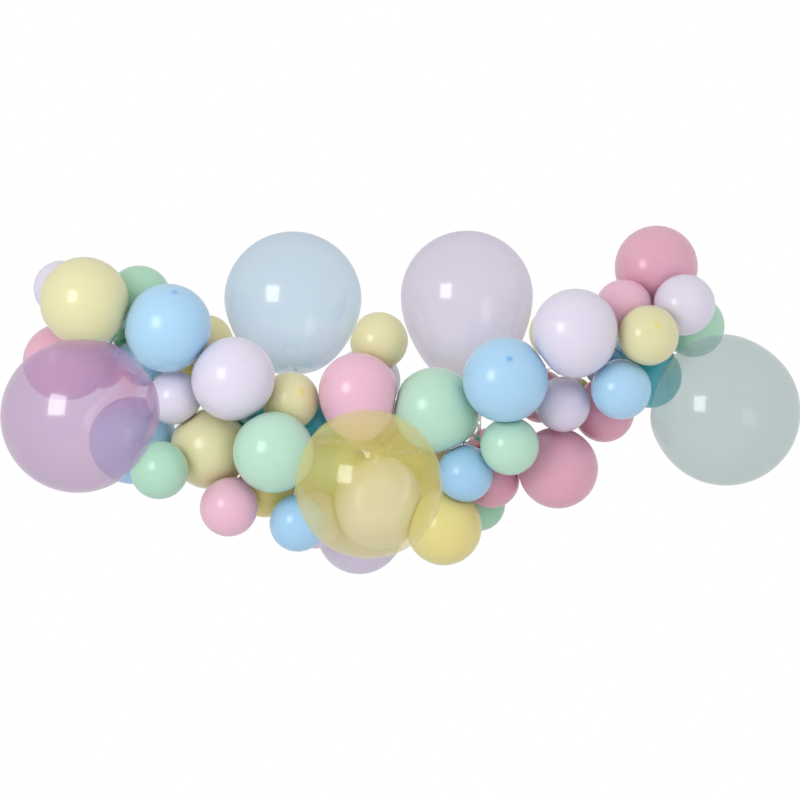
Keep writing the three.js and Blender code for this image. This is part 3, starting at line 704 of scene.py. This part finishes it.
def clear_latex(name, colour, deep, rim, thin, thick):
    """Clear tinted latex: one glossy skin, thin over the body, and denser and nearer to its rim
    colour where it is seen edge on; where that rim colour is lighter than the body's, it is a painted
    sheen.
    It is dense where the latex is thick, and duller inside. Light goes through it nearly unhindered."""
    material, skin, depth_and_shade = latex_base(name, colour, deep, 0.01, 0.008, 0.15, 6.0, 0.03)
    nodes, links = material.node_tree.nodes, material.node_tree.links
    skin.inputs["IOR"].default_value = 1.8
    side = nodes.new("ShaderNodeNewGeometry")
    gloss = nodes.new("ShaderNodeMapRange")
    gloss.inputs["To Min"].default_value = 1.0
    gloss.inputs["To Max"].default_value = 0.3
    links.new(side.outputs["Backfacing"], gloss.inputs["Value"])
    links.new(gloss.outputs["Result"], skin.inputs["Specular IOR Level"])
    facing = nodes.new("ShaderNodeLayerWeight")
    facing.inputs["Blend"].default_value = 0.5
    edge = nodes.new("ShaderNodeMath")
    edge.operation = "POWER"
    edge.inputs[1].default_value = 3.0
    links.new(facing.outputs["Facing"], edge.inputs[0])
    # the rim colour where the skin is seen edge on: a deeper tint, and on pink, yellow and mint a
    # lighter painted sheen
    rim_tint_and_sheen = nodes.new("ShaderNodeMix")
    rim_tint_and_sheen.data_type = "RGBA"
    rim_tint_and_sheen.inputs["B"].default_value = rim
    links.new(edge.outputs[0], rim_tint_and_sheen.inputs["Factor"])
    links.new(skin.inputs["Base Color"].links[0].from_socket, rim_tint_and_sheen.inputs["A"])
    links.new(rim_tint_and_sheen.outputs["Result"], skin.inputs["Base Color"])
    density = nodes.new("ShaderNodeMath")
    density.operation = "MAXIMUM"
    links.new(edge.outputs[0], density.inputs[0])
    links.new(depth_and_shade.outputs["Fac"], density.inputs[1])
    alpha = nodes.new("ShaderNodeMapRange")
    alpha.inputs["To Min"].default_value = thin
    alpha.inputs["To Max"].default_value = thick
    links.new(density.outputs[0], alpha.inputs["Value"])
    path = nodes.new("ShaderNodeLightPath")
    passing = nodes.new("ShaderNodeMapRange")
    passing.inputs["To Min"].default_value = 0.08
    passing.inputs["To Max"].default_value = 1.0
    links.new(path.outputs["Is Camera Ray"], passing.inputs["Value"])
    held = nodes.new("ShaderNodeMath")
    held.operation = "MULTIPLY"
    links.new(alpha.outputs["Result"], held.inputs[0])
    links.new(passing.outputs["Result"], held.inputs[1])
    links.new(held.outputs[0], skin.inputs["Alpha"])
    return material


def clear_plastic(name):
    """The strip: thin clear plastic that shows its edges."""
    material = bpy.data.materials.new(name)
    material.use_nodes = True
    nodes, links = material.node_tree.nodes, material.node_tree.links
    skin = nodes["Principled BSDF"]
    bloom = nodes.new("ShaderNodeGroup")
    bloom.node_tree = BLOOM
    for socket, value in (("Cloud", 0.05), ("Grain", 0.03), ("Roughness", 0.12), ("Size", 60.0)):
        bloom.inputs[socket].default_value = value
    tint = nodes.new("ShaderNodeVectorMath")
    tint.operation = "SCALE"
    tint.inputs[0].default_value = rgb(205, 212, 216)[:3]
    links.new(bloom.outputs["Tone"], tint.inputs["Scale"])
    links.new(tint.outputs["Vector"], skin.inputs["Base Color"])
    links.new(bloom.outputs["Roughness"], skin.inputs["Roughness"])
    skin.inputs["Specular IOR Level"].default_value = 1.0
    facing = nodes.new("ShaderNodeLayerWeight")
    facing.inputs["Blend"].default_value = 0.4
    alpha = nodes.new("ShaderNodeMapRange")
    alpha.inputs["To Min"].default_value = 0.3
    alpha.inputs["To Max"].default_value = 0.9
    links.new(facing.outputs["Facing"], alpha.inputs["Value"])
    links.new(alpha.outputs["Result"], skin.inputs["Alpha"])
    return material


MATERIALS = {
    "yellow": satin_latex("satin_yellow", rgb(218, 213, 169), rgb(226, 206, 80)),
    "blue": satin_latex("satin_blue", rgb(167, 206, 232), rgb(60, 150, 215)),
    "lilac": satin_latex("satin_lilac", rgb(217, 211, 227), rgb(180, 150, 190)),
    "green": satin_latex("satin_green", rgb(181, 216, 196), rgb(70, 175, 120)),
    "pink": satin_latex("satin_pink", rgb(226, 181, 200), rgb(185, 70, 105)),
    # teal: a darker, more saturated blue for balloons deep in the pack, painted shade
    "teal": satin_latex("satin_teal_painted_shade", rgb(62, 165, 178), rgb(40, 120, 125)),
    # clear tints give colour, deep tint, rim colour, thin and thick alpha; the lighter rims of pink,
    # yellow and mint are painted sheen
    "clear_pink": clear_latex(
        "clear_latex_pink", rgb(164, 122, 170), rgb(200, 70, 125), rgb(185, 142, 192), 0.52, 0.74),
    "clear_blue": clear_latex(
        "clear_latex_blue", rgb(141, 182, 209), rgb(110, 165, 205), rgb(125, 170, 205), 0.40, 0.66),
    "clear_lilac": clear_latex(
        "clear_latex_lilac", rgb(180, 165, 200), rgb(160, 130, 185), rgb(172, 148, 198), 0.40, 0.64),
    "clear_yellow": clear_latex(
        "clear_latex_yellow", rgb(209, 196, 76), rgb(220, 206, 98), rgb(230, 222, 140), 0.41, 0.62),
    "clear_mint": clear_latex(
        "clear_latex_mint", rgb(103, 145, 143), rgb(90, 140, 140), rgb(130, 165, 163), 0.40, 0.6),
    "clear_plastic": clear_plastic("clear_strip_plastic"),
}


# ---- the garland --------------------------------------------------------------------------------

def put_in(piece, node, slot):
    """A finished piece stands for a node of the solid model."""
    piece.data.materials.append(MATERIALS[slot])
    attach(piece, "root")
    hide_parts(node)


balloons = [Balloon(*row) for row in BALLOONS]
for ball in balloons:
    ball.planes = press_planes(ball, balloons)
for ball in balloons:
    put_in(piece_from(ball.name + "_skin", *balloon_skin(ball)), ball.name, ball.tint)
put_in(weld(piece_from("strip_links", *strip_surface(balloons))), "decorating_strip", "clear_plastic")


# ---- floor, light and camera, in metres ---------------------------------------------------------

FLOOR = dict(radius=3.0, below=1.65, corners=96)
# the camera looks level along +Y, from this far off, at a field this wide at the garland's middle
VIEW = dict(distance=5.75, width=2.08, sensor=36.0)


def plain(name, colour, roughness):
    """A plain material for what isn't part of the garland."""
    material = bpy.data.materials.new(name)
    material.use_nodes = True
    skin = material.node_tree.nodes["Principled BSDF"]
    skin.inputs["Base Color"].default_value = colour
    skin.inputs["Roughness"].default_value = roughness
    return material


def floor_disc(radius, height):
    """A round floor under the garland."""
    corners = FLOOR["corners"]
    angle = np.linspace(0, 2 * math.pi, corners, endpoint=False)
    across, back = 0.75 + radius * np.cos(angle), radius * np.sin(angle)
    mesh = bpy.data.meshes.new("floor")
    mesh.from_pydata(np.stack([across, back, np.full(corners, height)], -1).tolist(), [],
                     [list(range(corners))])
    floor = bpy.data.objects.new("floor", mesh)
    mesh.materials.append(plain("pale_floor", (0.86, 0.86, 0.86, 1.0), 0.7))
    bpy.context.scene.collection.objects.link(floor)


def softbox(name, place, target, width, height, watts):
    """A rectangular area light at a place, facing a target."""
    light = bpy.data.lights.new(name, "AREA")
    light.shape = "RECTANGLE"
    light.size, light.size_y, light.energy = width, height, watts
    lamp = bpy.data.objects.new(name, light)
    lamp.location = place
    lamp.rotation_euler = (Vector(target) - Vector(place)).to_track_quat("-Z", "Y").to_euler()
    bpy.context.scene.collection.objects.link(lamp)
    return lamp


def white_room(seen, given):
    """A plain white surround: seen behind the object at one strength, and lighting it at another."""
    world = bpy.data.worlds.new("white_room")
    bpy.context.scene.world = world
    world.use_nodes = True
    nodes, links = world.node_tree.nodes, world.node_tree.links
    back = nodes["Background"]
    back.inputs["Color"].default_value = (1, 1, 1, 1)
    path = nodes.new("ShaderNodeLightPath")
    strength = nodes.new("ShaderNodeMapRange")
    strength.inputs["To Min"].default_value = given
    strength.inputs["To Max"].default_value = seen
    links.new(path.outputs["Is Camera Ray"], strength.inputs["Value"])
    links.new(strength.outputs["Result"], back.inputs["Strength"])


centre = Vector(in_row(np.array([0.0, 0.0, 0.0])))
floor_disc(FLOOR["radius"], centre.z - FLOOR["below"])
white_room(1.0, 0.77)
softbox("key_softbox", centre + Vector((-1.73, -2.37, 0.66)), centre, 1.1, 1.3, 24)
fill = softbox("fill_softbox", centre + Vector((1.0, -4.2, 0.4)), centre, 2.6, 2.6, 36)
fill.visible_glossy = False

camera_data = bpy.data.cameras.new("camera")
camera_data.sensor_width = VIEW["sensor"]
camera_data.lens = VIEW["sensor"] * VIEW["distance"] / VIEW["width"]
camera = bpy.data.objects.new("camera", camera_data)
camera.location = centre + Vector((0, -VIEW["distance"], 0))
camera.rotation_euler = (math.pi / 2, 0, 0)
bpy.context.scene.collection.objects.link(camera)
bpy.context.scene.camera = camera
bpy.context.scene.view_settings.view_transform = "Standard"
